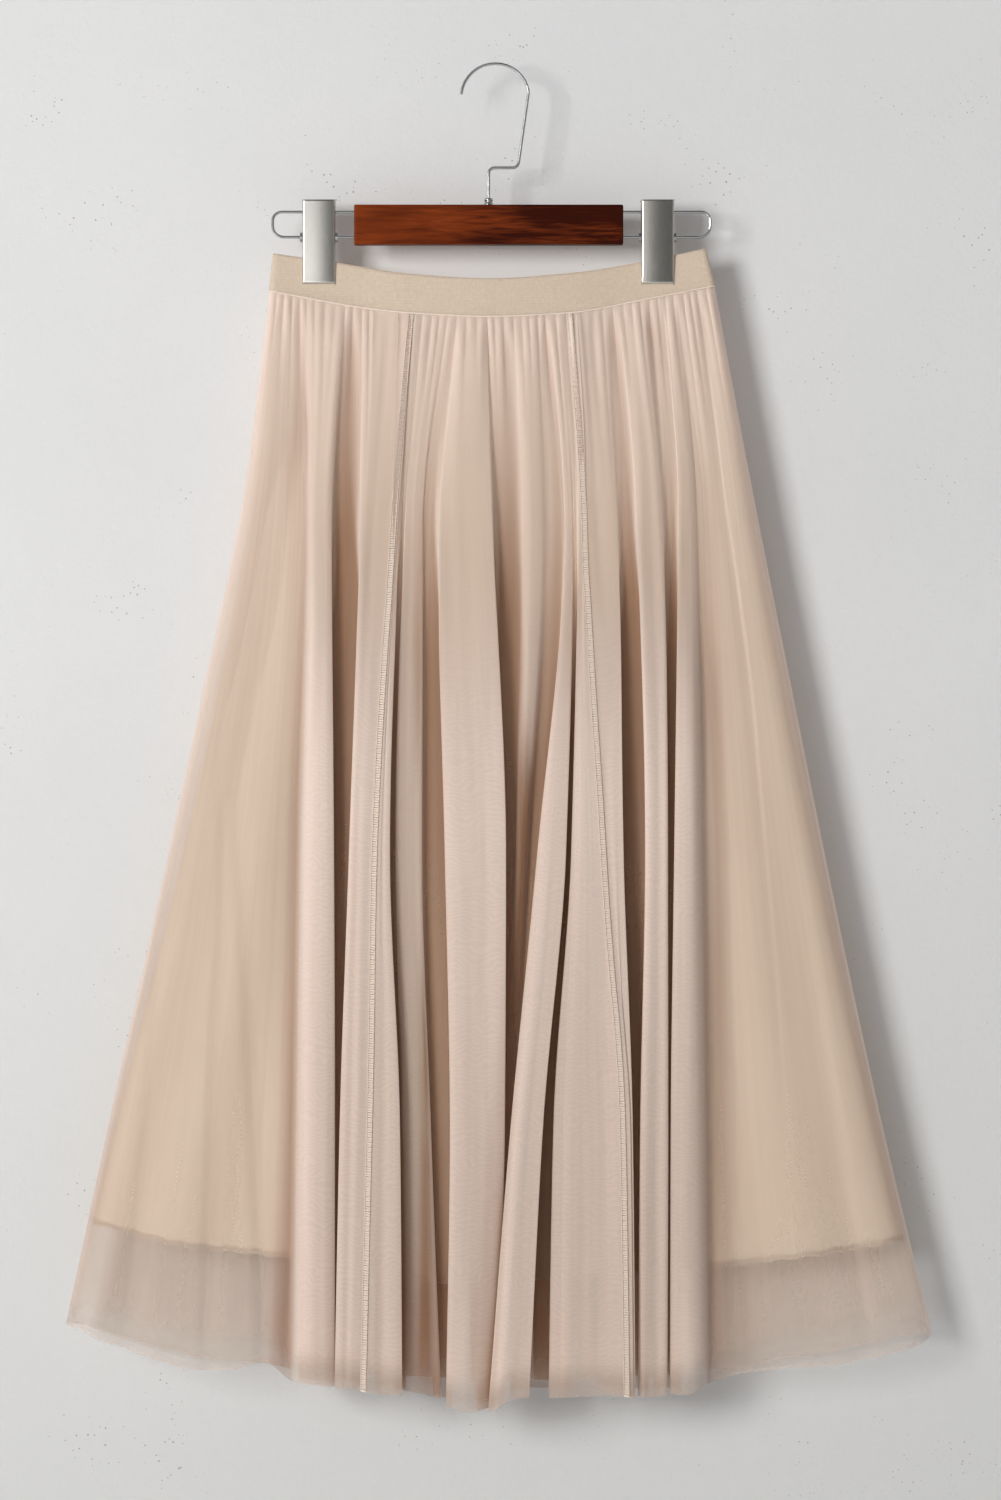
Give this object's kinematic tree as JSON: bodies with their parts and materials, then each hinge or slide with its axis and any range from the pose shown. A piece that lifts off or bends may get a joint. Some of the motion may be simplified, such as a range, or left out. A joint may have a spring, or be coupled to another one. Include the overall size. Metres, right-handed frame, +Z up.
{
  "type": "tulle midi skirt on a wooden clip hanger",
  "caption": "Gathered tulle midi skirt with a satin lining and an elastic waistband, hanging flat from the clips of a wooden bar hanger.",
  "frame": {"origin": "inside of the hook's top, where the hanger hangs on a rail or a nail", "axes": "+Z up, the skirt's front faces -Y, +X to the viewer's right"},
  "size_m": [0.6849, 0.0992, 1.0554],
  "materials": {
    "elastic": "ribbed woven elastic",
    "tulle": "fine soft net, sheer",
    "satin": "soft satin lining",
    "chromed_wire": "bright wire",
    "ferrule_metal": "bright collar",
    "stained_wood": "red-brown stain, satin varnish",
    "pressed_steel": "nickel-plated sheet, satin",
    "spring_steel": "plain spring wire"
  },
  "bodies": {
    "root": {"waistband": "elastic", "tulle_front_left": "tulle", "tulle_front_centre": "tulle", "tulle_front_right": "tulle", "tulle_back_left": "tulle", "tulle_back_centre": "tulle", "tulle_back_right": "tulle", "lining_front": "satin", "lining_back": "satin", "hook": "chromed_wire", "wire_left": "chromed_wire", "wire_right": "chromed_wire", "ferrule": "ferrule_metal", "bar": "stained_wood", "clip_left_front": "pressed_steel", "clip_left_back": "pressed_steel", "clip_right_front": "pressed_steel", "clip_right_back": "pressed_steel", "spring_left": "spring_steel", "spring_right": "spring_steel"}
  },
  "joints": []
}
